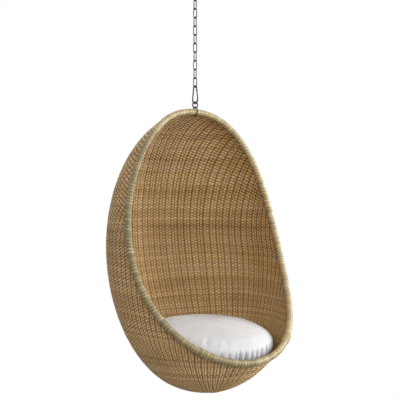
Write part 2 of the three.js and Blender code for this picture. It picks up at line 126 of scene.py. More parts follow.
# ---- hardware ----
GAP = 0.3  # between pieces that touch
EYE_WIRE, EYE_RADIUS, EYE_CENTRE_Z = 3.5, 15.0, -38.0
LINK_COUNT, LINK_WIRE = 11, 2.5
LINK_INNER_LENGTH, LINK_INNER_WIDTH = 39.6, 12.0
HOOK_WIRE, GATE_WIRE = 3.5, 3.0
HOOK_INNER_LENGTH = 72.8
HOOK_TOP_RADIUS, HOOK_BOTTOM_RADIUS = 11.0, 19.0
RING_WIRE, RING_INNER_RADIUS = 3.0, 11.0
LOOP_WIRE, LOOP_INNER_RADIUS = 2.5, 15.0
LINK_TOP = EYE_CENTRE_Z - EYE_RADIUS + EYE_WIRE + GAP
LINK_STEP = LINK_INNER_LENGTH - GAP
HOOK_TOP = LINK_TOP - LINK_COUNT * LINK_STEP
RING_TOP = HOOK_TOP - HOOK_INNER_LENGTH + GAP
LOOP_TOP = RING_TOP - 2 * RING_INNER_RADIUS + GAP

rng = np.random.default_rng(20)
GAP_SHADE_STRENGTH = rng.uniform(0.6, 1.3, STAKE_COUNT + 1)  # how dark the painted shade in each gap between stakes is


# ---- materials ----
class Nodes:
    """A material's node tree, with short calls to add and link nodes."""

    def __init__(self, name):
        self.material = bpy.data.materials.new(name)
        self.material.use_nodes = True
        self.tree = self.material.node_tree
        self.shader = self.tree.nodes["Principled BSDF"]

    def add(self, kind, inputs=None, **settings):
        node = self.tree.nodes.new(kind)
        for key, value in settings.items():
            setattr(node, key, value)
        for key, value in (inputs or {}).items():
            self.feed(value, node.inputs[key])
        return node

    def feed(self, value, socket):
        if isinstance(value, bpy.types.NodeSocket):
            self.tree.links.new(value, socket)
        else:
            socket.default_value = value

    def shade(self, **inputs):
        for key, value in inputs.items():
            self.feed(value, self.shader.inputs[key.replace("_", " ")])

    def place(self, stretch=(1, 1, 1)):
        where = self.add("ShaderNodeTexCoord").outputs["Object"]
        return self.add("ShaderNodeMapping", {"Vector": where, "Scale": stretch}).outputs[0]

    def noise(self, scale, detail=3.0, stretch=(1, 1, 1)):
        inputs = {"Vector": self.place(stretch), "Scale": scale, "Detail": detail}
        return self.add("ShaderNodeTexNoise", inputs).outputs["Fac"]

    def ramp(self, fac, stops):
        node = self.add("ShaderNodeValToRGB", {"Fac": fac})
        while len(node.color_ramp.elements) < len(stops):
            node.color_ramp.elements.new(0.5)
        for element, (place, colour) in zip(node.color_ramp.elements, stops):
            element.position = place
            element.color = (*colour, 1)
        return node.outputs["Color"]

    def mix(self, a, b, fac, mode="MIX"):
        node = self.add("ShaderNodeMix", data_type="RGBA", blend_type=mode)
        for value, index in ((fac, 0), (a, 6), (b, 7)):
            self.feed(value, node.inputs[index])
        return node.outputs[2]

    def bump(self, height, strength, distance):
        inputs = {"Height": height, "Strength": strength, "Distance": distance}
        self.shade(Normal=self.add("ShaderNodeBump", inputs).outputs["Normal"])

    def attribute(self, name):
        return self.add("ShaderNodeAttribute", attribute_name=name).outputs["Fac"]


def cane(name, dark, middle, light, roughness, patches):
    """Split or round cane: each strand has its own tone, with patches, grain and a faint gloss."""
    n = Nodes(name)
    # The tone attribute holds each strand's own tone and also painted shade, in the weave's gaps and on the
    # rim's left side.
    tone = n.ramp(n.attribute("tone"), [(0.0, dark), (0.5, middle), (1.0, light)])
    bands = n.noise(5.0, 5.0, (0.5, 0.5, 3.0))
    patchy = n.ramp(bands, [(0.32, patches), (0.5, (1, 0.97, 0.9)), (0.66, (1, 1, 1.12))])
    fibre = n.noise(900.0, 2.0)
    grain = n.ramp(fibre, [(0.3, (0.82, 0.8, 0.76)), (0.7, (1, 1, 1))])
    colour = n.mix(n.mix(tone, patchy, 1.0, "MULTIPLY"), grain, 1.0, "MULTIPLY")
    n.shade(Base_Color=colour, Roughness=roughness)
    n.shade(Coat_Weight=0.12, Coat_Roughness=0.35)
    n.bump(fibre, 0.25, 0.0006)
    return n.material


def steel(name, base, roughness):
    """Plated steel wire with fine wear marks."""
    n = Nodes(name)
    cloud = n.noise(60.0, 4.0)
    shades = [(0.3, tuple(0.72 * c for c in base)), (0.7, base)]
    rough = n.add("ShaderNodeMapRange", {"Value": cloud, "To Min": roughness + 0.1, "To Max": roughness})
    n.shade(Base_Color=n.ramp(cloud, shades), Metallic=1.0, Roughness=rough.outputs[0])
    n.bump(n.noise(1400.0, 2.0), 0.08, 0.0003)
    return n.material


def cotton():
    """Off-white cotton canvas: a fine plain weave, soft wrinkles and a slight sheen."""
    n = Nodes("cotton_canvas")
    threads = []
    for axis in ("X", "Y"):
        inputs = {"Vector": n.place(), "Scale": 330.0, "Distortion": 0.4}
        threads.append(n.add("ShaderNodeTexWave", inputs, bands_direction=axis).outputs["Fac"])
    weave = n.add("ShaderNodeMath", {0: threads[0], 1: threads[1]}, operation="MULTIPLY")
    creases = n.noise(9.0, 5.0)
    height = n.add("ShaderNodeMath", {0: creases, 1: 1.2, 2: weave.outputs[0]}, operation="MULTIPLY_ADD")
    tint = n.ramp(n.noise(4.0), [(0.35, (0.43, 0.43, 0.44)), (0.65, (0.49, 0.48, 0.475))])
    n.shade(Base_Color=tint, Roughness=0.92)
    n.shade(Sheen_Weight=0.25, Sheen_Roughness=0.5)
    n.bump(height.outputs[0], 0.35, 0.0006)
    return n.material


WEAVE_CANE = cane("weave_cane", (0.13, 0.06, 0.013), (0.56, 0.365, 0.155), (0.86, 0.67, 0.41), 0.42,
                  (0.84, 0.79, 0.67))
STAKE_CANE = cane("stake_cane", (0.24, 0.135, 0.05), (0.33, 0.2, 0.08), (0.42, 0.27, 0.12), 0.6,
                  (0.86, 0.82, 0.74))
BINDING_CANE = cane("binding_cane", (0.16, 0.125, 0.05), (0.36, 0.29, 0.15), (0.53, 0.435, 0.285), 0.36,
                    (0.86, 0.84, 0.76))
POLE_CANE = cane("pole_cane", (0.42, 0.30, 0.15), (0.42, 0.30, 0.15), (0.42, 0.30, 0.15), 0.6,
                 (0.8, 0.8, 0.8))
STEEL = steel("plated_steel", (0.12, 0.118, 0.11), 0.36)
DARK_STEEL = steel("dark_steel", (0.085, 0.083, 0.077), 0.36)
COTTON = cotton()


# ---- meshes ----
def make_mesh(name, points, faces, material, tones=None):
    """A mesh object from points in millimetres and arrays of faces, with a tone at each point."""
    mesh = bpy.data.meshes.new(name)
    corners = np.concatenate([f.ravel() for f in faces])
    sizes = np.concatenate([np.full(len(f), f.shape[1]) for f in faces])
    mesh.vertices.add(len(points))
    mesh.vertices.foreach_set("co", (np.asarray(points) * MM).astype(np.float32).ravel())
    mesh.loops.add(len(corners))
    mesh.loops.foreach_set("vertex_index", corners.astype(np.int32))
    mesh.polygons.add(len(sizes))
    mesh.polygons.foreach_set("loop_start", (np.cumsum(sizes) - sizes).astype(np.int32))
    mesh.update(calc_edges=True)
    mesh.validate()
    mesh.shade_smooth()
    values = np.full(len(points), 0.5) if tones is None else tones
    mesh.attributes.new("tone", "FLOAT", "POINT").data.foreach_set("value", values.astype(np.float32))
    mesh.materials.append(material)
    thing = bpy.data.objects.new(name, mesh)
    bpy.context.scene.collection.objects.link(thing)
    return thing


def piece(name, parts, material, body, stands_for=(), crease=None):
    """One object from several (points, faces, tones) parts, riding on a body."""
    points, faces, tones, start = [], {}, [], 0
    for part_points, part_faces, part_tones in parts:
        points.append(part_points)
        tones.append(np.broadcast_to(part_tones, len(part_points)))
        for f in part_faces:
            faces.setdefault(f.shape[1], []).append(f + start)
        start += len(part_points)
    joined = [np.concatenate(f) for f in faces.values()]
    thing = make_mesh(name, np.concatenate(points), joined, material, np.concatenate(tones))
    if crease:
        thing.data.set_sharp_from_angle(angle=crease * DEG)
    if stands_for:
        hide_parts(*stands_for)
    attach(thing, body)
    return thing


def unit(v):
    return v / np.linalg.norm(v, axis=-1, keepdims=True)


def grid_faces(rows, across, loop):
    """Quads over a grid whose rows close on themselves; a loop joins the last row to the first."""
    i = np.arange(rows if loop else rows - 1)[:, None]
    j = np.arange(across)[None, :]
    below, right = (i + 1) % rows, (j + 1) % across
    corners = [i * across + j, below * across + j, below * across + right, i * across + right]
    return np.stack(np.broadcast_arrays(*corners), -1).reshape(-1, 4)


def fan_faces(across, start, flip):
    """Triangles that close the ring of points beginning at start."""
    k = np.arange(1, across - 1)
    tris = np.stack([np.zeros_like(k), k, k + 1], -1) + start
    return tris[:, ::-1] if flip else tris


def sweep(path, side, out, radius_side, radius_out, sides, loop=False, tone=0.5):
    """A round or oval strand along a path, with side and out giving its section's axes."""
    turn = 2 * np.pi * (np.arange(sides) + 0.5) / sides
    shape = (len(path), 1, 1)
    across = np.broadcast_to(np.reshape(radius_side, (-1, 1, 1)), shape) * side[:, None, :]
    outward = np.broadcast_to(np.reshape(radius_out, (-1, 1, 1)), shape) * out[:, None, :]
    rows = path[:, None, :] + np.cos(turn)[None, :, None] * across
    rows = rows + np.sin(turn)[None, :, None] * outward
    faces = [grid_faces(len(path), sides, loop)]
    if not loop:
        faces.append(fan_faces(sides, 0, False))
        faces.append(fan_faces(sides, (len(path) - 1) * sides, True))
    return facing_out(rows.reshape(-1, 3), faces, tone)


def facing_out(points, faces, tone):
    """The part with its faces turned outwards, judged by its volume."""
    middle = points.mean(0)
    volume = 0.0
    for f in faces:
        a, b, c = (points[f[:, k]] - middle for k in (0, 1, 2))
        volume += np.einsum("ij,ij->", a, np.cross(b, c))
        if f.shape[1] == 4:
            d = points[f[:, 3]] - middle
            volume += np.einsum("ij,ij->", a, np.cross(c, d))
    if volume < 0:
        faces = [f[:, ::-1] for f in faces]
    return points, faces, tone


def lathe(profile, centre, sides=64, tone=0.5):
    """A solid of revolution about a vertical line; the profile is [radius, height] and ends on it."""
    turn = 2 * np.pi * np.arange(sides) / sides
    rings = [(r, z) for r, z in profile if r > 0]
    rows = [np.stack([r * np.cos(turn), r * np.sin(turn), np.full(sides, z)], -1) for r, z in rings]
    points = np.concatenate(rows + [[[0, 0, profile[0][1]], [0, 0, profile[-1][1]]]])
    j = np.arange(sides)
    k = (j + 1) % sides
    end = (len(rings) - 1) * sides
    first_cap = np.stack([np.full(sides, len(points) - 2), k, j], -1)
    last_cap = np.stack([np.full(sides, len(points) - 1), end + j, end + k], -1)
    faces = [grid_faces(len(rings), sides, False), first_cap, last_cap]
    return facing_out(points + np.asarray(centre), faces, tone)


# ---- egg surface ----
def bulge(level, tilt):
    return np.maximum(np.sin(level), 1e-9) ** EGG_BLUNT * (1 + tilt * np.cos(level))


WIDEST = bulge(np.linspace(0, np.pi, 181), -EGG_SLENDER).max()


def share(level):
    return (1 - np.cos(level)) / 2


def half_width(level):
    return EGG_HALF_WIDTH / WIDEST * bulge(level, -EGG_SLENDER)


def middle_y(level):
    s = share(level)
    return MIDDLE_LINE[0] * s + MIDDLE_LINE[1] * s * s


def rim_y(level):
    s = share(level)
    line = RIM_LINE[0] * s + RIM_LINE[1] * s**2 + RIM_LINE[2] * s**3
    return line + HANG_OFFSET * (1 - s) ** 10


def depth(level, behind):
    back = BACK_DEPTH * bulge(level, BACK_HIGH)
    return np.where(behind, back, FRONT_DEPTH * bulge(level, FRONT_HIGH))


def egg_at(direction):
    """Points of the egg surface in directions of the unit sphere."""
    level = np.arccos(np.clip(direction[..., 2], -1, 1))
    turn = np.arctan2(direction[..., 1], direction[..., 0])
    y = middle_y(level) + depth(level, np.sin(turn) > 0) * np.sin(turn) - HANG_OFFSET
    return np.stack([half_width(level) * np.cos(turn), y, POLE_AXIS_Z - EGG_HEIGHT * share(level)], -1)


def egg_normal(direction):
    """Outward normals of the egg surface."""
    steep = np.abs(direction[..., 2:3]) > 0.8
    side = unit(np.cross(np.where(steep, ALONG_Y, UP), direction))
    lift = np.cross(direction, side)
    step = 0.01
    arms = [egg_at(unit(direction + step * v)) - egg_at(unit(direction - step * v)) for v in (side, lift)]
    return unit(np.cross(*arms))


def sphere(level, turn):
    ring = np.sin(level)
    return np.stack([ring * np.cos(turn), ring * np.sin(turn), np.cos(level) + 0 * turn], -1)


# ---- rim line ----
def rim_half():
    """Directions to the rim from the top, down the right side to the middle of the lip."""
    level = np.linspace(0.001, np.pi, 6000)
    out = rim_y(level) - middle_y(level)
    ratio = out / depth(level, out > 0)
    inside = np.flatnonzero(ratio < 1)
    first = inside[0]
    below = np.flatnonzero(ratio[first:] <= -1)
    last = first + below[0] if len(below) else len(level) - 1
    turn = np.arcsin(np.clip(ratio, -1, 1))[first : last + 1]
    turn[0] = np.pi / 2
    turn[-1] = -np.pi / 2
    return sphere(level[first : last + 1], turn)


RIM_HALF = rim_half()
RIM_POINTS = egg_at(RIM_HALF)
RIM_ARC = np.concatenate([[0], np.cumsum(np.linalg.norm(np.diff(RIM_POINTS, axis=0), axis=1))])
STEP_LENGTH = 2 * RIM_ARC[-1] / RIM_STEPS


def rim_direction(step):
    """Directions to the rim: steps run down the right side from the top, negative ones down the left."""
    place = (np.asarray(step, float) + RIM_STEPS / 2) % RIM_STEPS - RIM_STEPS / 2
    wanted = np.abs(place) * STEP_LENGTH
    found = np.stack([np.interp(wanted, RIM_ARC, RIM_HALF[:, k]) for k in range(3)], -1)
    found[..., 0] *= np.where(place < 0, -1, 1)
    return unit(found)


def rim_frame(step):
    """Rim points with the section's axes: inward to the shell's edge, and out of the surface."""
    direction = rim_direction(step)
    along = unit(egg_at(rim_direction(step + 0.2)) - egg_at(rim_direction(step - 0.2)))
    out = egg_normal(direction)
    out = unit(out - along * np.sum(out * along, -1, keepdims=True))
    inward = np.cross(out, along)
    return egg_at(direction), inward, out, along


RIM_FINE = egg_at(rim_direction(np.linspace(0, RIM_STEPS, 720, endpoint=False)))


def from_rim(points):
    """Distance from each point to the rim line."""
    nearest = np.full(len(points), np.inf)
    for chunk in np.array_split(RIM_FINE, 6):
        gaps = np.linalg.norm(points[:, None, :] - chunk[None], axis=-1).min(1)
        nearest = np.minimum(nearest, gaps)
    return nearest


# ---- weave ----
def weave_direction(level, turn):
    """Directions for the weave's own levels, whose lowest point is tilted to the front."""
    tilt = FOOT_TILT * np.clip((level / np.pi - 0.5) / 0.5, 0, 1) ** 2
    d = sphere(level, turn)
    y = d[..., 1] * np.cos(tilt) + d[..., 2] * np.sin(tilt)
    z = d[..., 2] * np.cos(tilt) - d[..., 1] * np.sin(tilt)
    return np.stack([d[..., 0], y, z], -1)


def behind_rim(points):
    """True where a point of the egg surface belongs to the shell and not to the opening."""
    s = np.clip((POLE_AXIS_Z - points[..., 2]) / EGG_HEIGHT, 0, 1)
    return points[..., 1] > rim_y(np.arccos(1 - 2 * s)) - HANG_OFFSET


TURNS = np.linspace(90, -90, 721) * DEG
WIDE_LEVEL = np.linspace(0, np.pi, 721)[half_width(np.linspace(0, np.pi, 721)).argmax()]


def ring_arc(level):
    """Length along a level, on the right side, from the back's centre line to each of TURNS."""
    points = egg_at(weave_direction(np.full_like(TURNS, level), TURNS))
    return np.concatenate([[0], np.cumsum(np.linalg.norm(np.diff(points, axis=0), axis=1))])


def widest_turns():
    """The stakes' turns at the widest level: even pitches round the shell, wider apart in front."""
    front = np.clip((-TURNS / DEG - 20) / 70, 0, 1)
    true = np.gradient(ring_arc(WIDE_LEVEL), -TURNS)
    density = (1 - front) * true + front * FRONT_PITCH
    count = np.concatenate([[0], np.cumsum((density[1:] + density[:-1]) / 2 * -np.diff(TURNS))])
    count *= STAKE_COUNT / count[-1]
    return count


TURN_COUNT = widest_turns()


def stake_turns(level, places):
    """Turns at a level of places counted in stakes from the back's centre line.

    Above the widest level the stakes rise nearly upright, so on a smaller ring they stand further out.
    """
    turns = np.interp(places, TURN_COUNT, TURNS)
    if level >= WIDE_LEVEL:
        return turns
    here, wide = ring_arc(level), ring_arc(WIDE_LEVEL)
    length = np.interp(-turns, -TURNS, wide)
    radius, wide_radius = (2 / np.pi * np.interp(0, -TURNS, ring) for ring in (here, wide))
    lean = UPRIGHT_LEAN * (radius**-2 - wide_radius**-2) / 6
    return np.interp(length + lean * length**3, here, TURNS)


def group_size(level):
    """How many stakes a weaver passes at once at a level."""
    if level < WIDE_LEVEL:
        return 1
    return 2 ** sum(half_width(level) < radius for radius in GROUP_RADII)


def row_levels():
    """Levels of the weavers' rows, a pitch apart down the egg's side."""
    level = np.linspace(0.02, np.pi - 0.005, 4000)
    lines = [egg_at(weave_direction(level, np.full_like(level, turn * DEG))) for turn in (10, 50, 90)]
    steps = [np.linalg.norm(np.diff(p, axis=0), axis=1) for p in lines]
    arc = np.concatenate([[0], np.cumsum(np.maximum.reduce(steps))])
    count = int(arc[-1] / ROW_PITCH)
    levels = np.interp((np.arange(count) + 0.5) * ROW_PITCH, arc, level)
    return [a for a in levels if a < WIDE_LEVEL or half_width(a) > FOOT_RADIUS]


def runs(keep):
    """The index ranges over which keep is true."""
    edges = np.flatnonzero(np.diff(np.concatenate([[0], keep.astype(int), [0]])))
    return list(zip(edges[::2], edges[1::2]))


def weaver_row(number, level):
    """Places round a row from the right side's front to the left's, with its swing and the painted shade
    there.
    """
    group = group_size(level)
    half = np.arange(0, STAKE_COUNT + 1e-6, group / 4)
    turns = stake_turns(level, half + (PAIR_SHIFT * np.sin(np.pi * half) if group == 1 else 0))
    swing = np.cos(np.pi * (half / group - 0.5)) * (1 if number % 2 else -1)
    # Painted shade: the tone is darkened where the weaver crosses between stakes, most in the wide gaps
    # between pairs.
    gap = np.abs(np.cos(np.pi * half / group)) ** 5
    wide = np.cos(np.pi * half / group) > 0
    shade = gap * np.where(wide, WIDE_SHADE, NARROW_SHADE) * GAP_SHADE_STRENGTH[(half + 0.5).astype(int)]
    shade *= np.interp(turns, [-40 * DEG, 0], [FRONT_SHADE, 1])
    shade *= 1 + HIGH_SHADE * max(0.0, np.cos(level))
    turn = np.concatenate([turns[::-1], np.pi - turns[1:]])
    return turn, np.concatenate([swing[::-1], -swing[1:]]), np.concatenate([shade[::-1], shade[1:]])


def weavers():
    """Rows of doubled weavers, as parts of two strands each."""
    rows = []
    for number, level in enumerate(row_levels()):
        turn, swing, gap_shade = weaver_row(number, level)
        # Rows wander up and down together, so they never part or cross.
        drift = 0.003 * np.sin(3.0 * turn + 5.0 * level) + 0.0015 * np.sin(7.0 * turn - 9.0 * level)
        levels = level + drift * min(1.0, 2.0 * np.sin(level))
        direction = weave_direction(levels, turn)
        points = egg_at(direction)
        out = egg_normal(direction)
        down = unit(egg_at(weave_direction(levels + 0.004, turn)) - points)
        middle = points + out * (MID_SURFACE + WEAVER_SWING * swing[:, None])
        keep = behind_rim(points) & (from_rim(points) > RIM_REACH)
        closed = bool(keep.all())
        parts = []
        for side in (-1, 1):
            tone = rng.normal(0.65, 0.11) + HIGH_TONE * max(0.0, np.cos(level))
            size = WEAVER_RADIUS * rng.uniform(0.97, 1.05)
            for start, end in runs(keep):
                if end - start < 4:
                    continue
                chosen = slice(start, end - 1 if closed else end)
                path = (middle + side * WEAVER_PAIR * down)[chosen]
                # The painted shade in the gaps is taken off the strand's tone.
                tones = np.repeat(np.clip(tone - gap_shade[chosen], 0, 1), 5)
                parts.append(sweep(path, down[chosen], out[chosen], size, size, 5, closed, tones))
        rows.append(parts)
    return rows


def stakes():
    """Stakes down the back and under the seat, in pairs; nearer the foot they run out in turn."""
    levels = np.concatenate([np.linspace(0.01, WIDE_LEVEL, 150), np.linspace(WIDE_LEVEL, np.pi, 160)[1:-1]])
    numbers = np.arange(STAKE_COUNT)
    places = numbers + 0.5 + PAIR_SHIFT * np.where(numbers % 2, -1, 1)
    turns = np.array([stake_turns(a, places) for a in levels])
    ring = half_width(levels)
    below = levels > WIDE_LEVEL
    sides = []
    for mirror in (1, -1):
        parts = []
        for number in numbers:
            last = GROUP_RADII[2] if number % 4 else FOOT_RADIUS
            last = GROUP_RADII[1] if number % 2 else last
            direction = weave_direction(levels, turns[:, number])
            points = egg_at(direction)
            out = egg_normal(direction)
            keep = behind_rim(points) & (from_rim(points) > RIM_REACH)
            keep &= ~(below & (ring < 0.8 * last))
            flip = np.array([mirror, 1, 1])
            tone = rng.normal(0.5, 0.15)
            for start, end in runs(keep):
                if end - start < 5:
                    continue
                path = (points + MID_SURFACE * out)[start:end] * flip
                side = unit(np.cross(np.gradient(path, axis=0), out[start:end] * flip))
                outward = out[start:end] * flip
                parts.append(sweep(path, side, outward, STAKE_WIDTH, STAKE_RADIUS, 6, False, tone))
        sides.append(parts)
    return sides


def foot_knot():
    """The coil that closes the weave under the seat."""
    turns = np.linspace(0, 5 * 2 * np.pi, 160)
    spread = np.linspace(0.002, 0.042, len(turns))
    direction = weave_direction(np.pi - spread, turns)
    points = egg_at(direction) + egg_normal(direction) * 1.5
    out = egg_normal(direction)
    side = unit(np.cross(np.gradient(points, axis=0), out))
    return sweep(points, side, out, 2.4, 2.6, 8)


def build_weave():
    rows = weavers()
    for first in range(0, len(rows), ROWS_IN_PIECE):
        parts = [part for row in rows[first : first + ROWS_IN_PIECE] for part in row]
        name = f"weaver_rows_{first // ROWS_IN_PIECE + 1:02d}"
        piece(name, parts, WEAVE_CANE, "egg", ["woven_shell"])
    for name, parts in zip(("stakes_right", "stakes_left"), stakes()):
        piece(name, parts, STAKE_CANE, "egg", ["woven_shell"])
    piece("foot_coil", [foot_knot()], WEAVE_CANE, "egg", ["woven_shell"])


# ---- rim ----
def wrapped(start, end, radius, pitch, lean=0.25, taper=0.0, shade_left_side=False):
    """Turns of split cane laid side by side round the rim; painted shade darkens the turns on the rim's
    left side.
    """
    length = (end - start) * STEP_LENGTH
    count = max(2, round(length / pitch))
    # One turn of cane: share of the pitch, and height above the radius.
    profile = ((0.0, -0.95), (0.1, -0.3), (0.3, 0.0), (0.62, 0.0), (0.84, -0.3), (0.94, -0.95))
    places = np.array([k + share_ for k in range(count) for share_, _ in profile] + [count])
    dips = np.array([dip for _ in range(count) for _, dip in profile] + [profile[0][1]])
    tones = rng.normal(0.62, 0.12, count) - BAND_SHADE * (np.arange(count) % 2)
    # Painted shade: the turns on the rim's left side, past its splice, are darkened.
    if shade_left_side:
        place = start + (end - start) * np.arange(count) / count
        left = (place + RIM_STEPS / 2) % RIM_STEPS - RIM_STEPS / 2
        tones -= LEFT_SIDE_SHADE * np.clip(-left - SPLICE_STEP["left"], 0, 1)
    tones = np.repeat(tones, len(profile))
    tones = np.append(tones, tones[-1])
    sides = 26
    turn = 2 * np.pi * np.arange(sides) / sides
    steps = start + (end - start) * places / count
    ends = np.minimum(places, count - places) * pitch
    swell = radius + dips - taper * np.exp(-((ends / 4.0) ** 2))
    point, inward, out, along = (v[:, None, :] for v in rim_frame(steps))
    around = np.cos(turn)[None, :, None] * inward + np.sin(turn)[None, :, None] * out
    skew = lean * pitch * np.sin(turn)[None, :, None] * np.clip(ends / 8, 0, 1)[:, None, None]
    rows = point + swell[:, None, None] * around + skew * along
    faces = [grid_faces(len(steps), sides, False), fan_faces(sides, 0, False)]
    faces.append(fan_faces(sides, (len(steps) - 1) * sides, True))
    return facing_out(rows.reshape(-1, 3), faces, np.repeat(np.clip(tones, 0, 1), sides))


def build_rim():
    arch = KNUCKLE_STEP
    spans = {
        "binding_arch_right": (0.0, arch),
        "binding_arch_left": (-arch, 0.0),
        "binding_lip": (arch, RIM_STEPS - arch),
    }
    for name, (start, end) in spans.items():
        wrap = wrapped(start, end, BIND_OUT, WRAP_PITCH, shade_left_side=name != "binding_arch_right")
        piece(name + "_turns", [wrap], BINDING_CANE, "egg", [name])
    for side, way in (("right", 1), ("left", -1)):
        for kind, step, radius in (
            ("knuckle", KNUCKLE_STEP, KNUCKLE_OUT),
            ("splice", SPLICE_STEP[side], SPLICE_OUT),
        ):
            start, end = way * step - LASH_HALF, way * step + LASH_HALF
            wrap = wrapped(start, end, radius, LASH_PITCH, 0.15, 1.0, way < 0)
            name = f"{kind}_lashing_{side}"
            piece(name + "_turns", [wrap], BINDING_CANE, "egg", [name])
    for name in ("rim_pole_arch", "rim_pole_lip"):
        paint(name, POLE_CANE)


def paint(name, material):
    """Gives a CAD node that stays in view its material."""
    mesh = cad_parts[name].data
    mesh.materials.clear()
    mesh.materials.append(material)


# ---- chain, hook, ring and loop ----
def loop_path(top, inner_length, end_radius, wire, steps, across):
    """The centreline of a loop with two round ends and its inner top at a height."""
    high = top + wire - end_radius
    low = top - inner_length - wire + end_radius
    turn = np.linspace(0, np.pi, steps)
    sweep_turns = np.concatenate([turn, turn + np.pi])
    middle = np.where(sweep_turns <= np.pi, high, low)
    middle[steps] = low
    height = middle + end_radius * np.sin(sweep_turns)
    return across * (end_radius * np.cos(sweep_turns))[:, None] + UP * height[:, None]


def wire_part(path, normal, wire, loop=True, sides=16, widths=None):
    """A round wire along a path in the plane with that normal."""
    if loop:
        along = np.roll(path, -1, axis=0) - np.roll(path, 1, axis=0)
    else:
        along = np.gradient(path, axis=0)
    side = unit(np.cross(normal, along))
    radius = wire if widths is None else wire * widths
    return sweep(path, side, np.broadcast_to(normal, path.shape), radius, radius, sides, loop)


def build_chain():
    radius = LINK_INNER_WIDTH / 2 + LINK_WIRE
    for number in range(1, LINK_COUNT + 1):
        across, normal = (ALONG_X, ALONG_Y) if number % 2 else (ALONG_Y, ALONG_X)
        top = LINK_TOP - (number - 1) * LINK_STEP
        path = loop_path(top, LINK_INNER_LENGTH, radius, LINK_WIRE, 17, across)
        link = wire_part(path, normal, LINK_WIRE)
        middle = top - LINK_INNER_LENGTH / 2
        weld_path = across * radius + UP * (middle + np.linspace(-2.2, 2.2, 7))[:, None]
        swell = 1.0 + 0.13 * np.cos(np.linspace(-1.4, 1.4, 7))
        weld = wire_part(weld_path, normal, LINK_WIRE, False, 16, swell)
        name = f"chain_link_{number:02d}"
        piece(name + "_wire", [link, weld], STEEL, name, [name], 50)


def build_ring_and_loop():
    turn = 2 * np.pi * np.arange(48) / 48
    ring_radius = RING_INNER_RADIUS + RING_WIRE
    centre = RING_TOP - RING_INNER_RADIUS
    path = ring_radius * (np.cos(turn)[:, None] * ALONG_X + np.sin(turn)[:, None] * UP) + centre * UP
    ring = wire_part(path, ALONG_Y, RING_WIRE)
    piece("lifting_ring_wire", [ring], DARK_STEEL, "lifting_ring", ["lifting_ring"])
    length = LOOP_TOP - POLE_AXIS_Z + BIND_OUT + 2 * GAP
    path = loop_path(LOOP_TOP, length, LOOP_INNER_RADIUS + LOOP_WIRE, LOOP_WIRE, 25, ALONG_Y)
    loop = wire_part(path, ALONG_X, LOOP_WIRE)
    piece("rim_loop_wire", [loop], DARK_STEEL, "rim_loop", ["rim_loop"])


def hook_lines():
    """Centres of the snap hook's two round ends and the slope of its sides."""
    high = HOOK_TOP + HOOK_WIRE - HOOK_TOP_RADIUS
    low = HOOK_TOP - HOOK_INNER_LENGTH - HOOK_WIRE + HOOK_BOTTOM_RADIUS
    return high, low, math.asin((HOOK_BOTTOM_RADIUS - HOOK_TOP_RADIUS) / (high - low))


def gate_line(way):
    """A point of the gate's side, from the narrow end (0) to the wide end (1)."""
    high, low, flare = hook_lines()
    arm = np.array([0, -math.cos(flare), math.sin(flare)])
    return (1 - way) * (HOOK_TOP_RADIUS * arm + high * UP) + way * (HOOK_BOTTOM_RADIUS * arm + low * UP)


def build_hook():
    high, low, flare = hook_lines()
    start = [gate_line(way) for way in (0.2, 0.13, 0.07)]
    upper = np.pi - flare - np.linspace(0, np.pi - 2 * flare, 17)
    lower = flare - np.linspace(0, np.pi + 2 * flare, 25)
    arcs = [(upper, HOOK_TOP_RADIUS, high), (lower, HOOK_BOTTOM_RADIUS, low)]
    bends = [
        radius * (np.cos(t)[:, None] * ALONG_Y + np.sin(t)[:, None] * UP) + centre * UP
        for t, radius, centre in arcs
    ]
    nose = [gate_line(way) for way in (0.965, 0.945)]
    path = np.concatenate([start, bends[0], bends[1], nose])
    # The end under the gate's cheeks is thinner and flatter than the rest.
    thin = np.ones(len(path))
    thin[0], thin[1] = 0.72, 0.9
    flat = np.ones(len(path))
    flat[:3] = (0.36, 0.36, 0.6)
    side = unit(np.cross(ALONG_X, np.gradient(path, axis=0)))
    body = sweep(path, side, np.broadcast_to(ALONG_X, path.shape), HOOK_WIRE * thin, HOOK_WIRE * flat, 20)
    piece("snap_hook_body", [body], DARK_STEEL, "snap_hook", ["snap_hook"], 50)
    ways = np.array([0.235, 0.25, 0.3, 0.6, 0.88, 0.92, 0.935])
    widths = np.array([0.7, 0.92, 1.0, 1.0, 1.0, 0.9, 0.6])
    path = np.array([gate_line(w) for w in ways])
    bar = wire_part(path, ALONG_X, GATE_WIRE, False, 20, widths)
    # Two cheeks carry the gate on its pin, one on each side of the hook's end.
    cheeks = []
    for edge in (-1, 1):
        line = np.array([gate_line(w) + edge * 2.35 * ALONG_X for w in (0.125, 0.14, 0.2, 0.26, 0.27)])
        across = unit(np.cross(ALONG_X, np.gradient(line, axis=0)))
        wide = np.array([1.9, 2.6, 2.8, 2.8, 2.4])
        cheeks.append(sweep(line, across, np.broadcast_to(ALONG_X, line.shape), wide, 0.7, 12))
    piece("hook_gate_bar", [bar, *cheeks], DARK_STEEL, "hook_gate", ["hook_gate"], 50)
    paint("gate_pin", STEEL)


# ---- cushion ----
def cushion_blank():
    """The cover before it is filled: a round pad, domed on top, that is a little small."""
    lowest, highest = (np.array(v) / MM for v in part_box("seat_cushion"))
    radius = (highest[0] - lowest[0]) / 2 - CUSHION_SHY
    crest = highest[2] - CUSHION_CREST
    centre = (0, (highest[1] + lowest[1]) / 2, crest)
    turn = np.pi / 2 * np.sin(np.linspace(-np.pi / 2, np.pi / 2, 61))
    power = 2 / CUSHION_SQUARE
    height = np.where(turn > 0, highest[2] - crest, crest - lowest[2]) - CUSHION_SHY
    rings = radius * np.cos(turn).clip(0) ** power
    rings[[0, -1]] = 0
    levels = height * np.sign(turn) * np.abs(np.sin(turn)) ** power
    return lathe(list(zip(rings, levels)), centre, 96), np.array(centre)


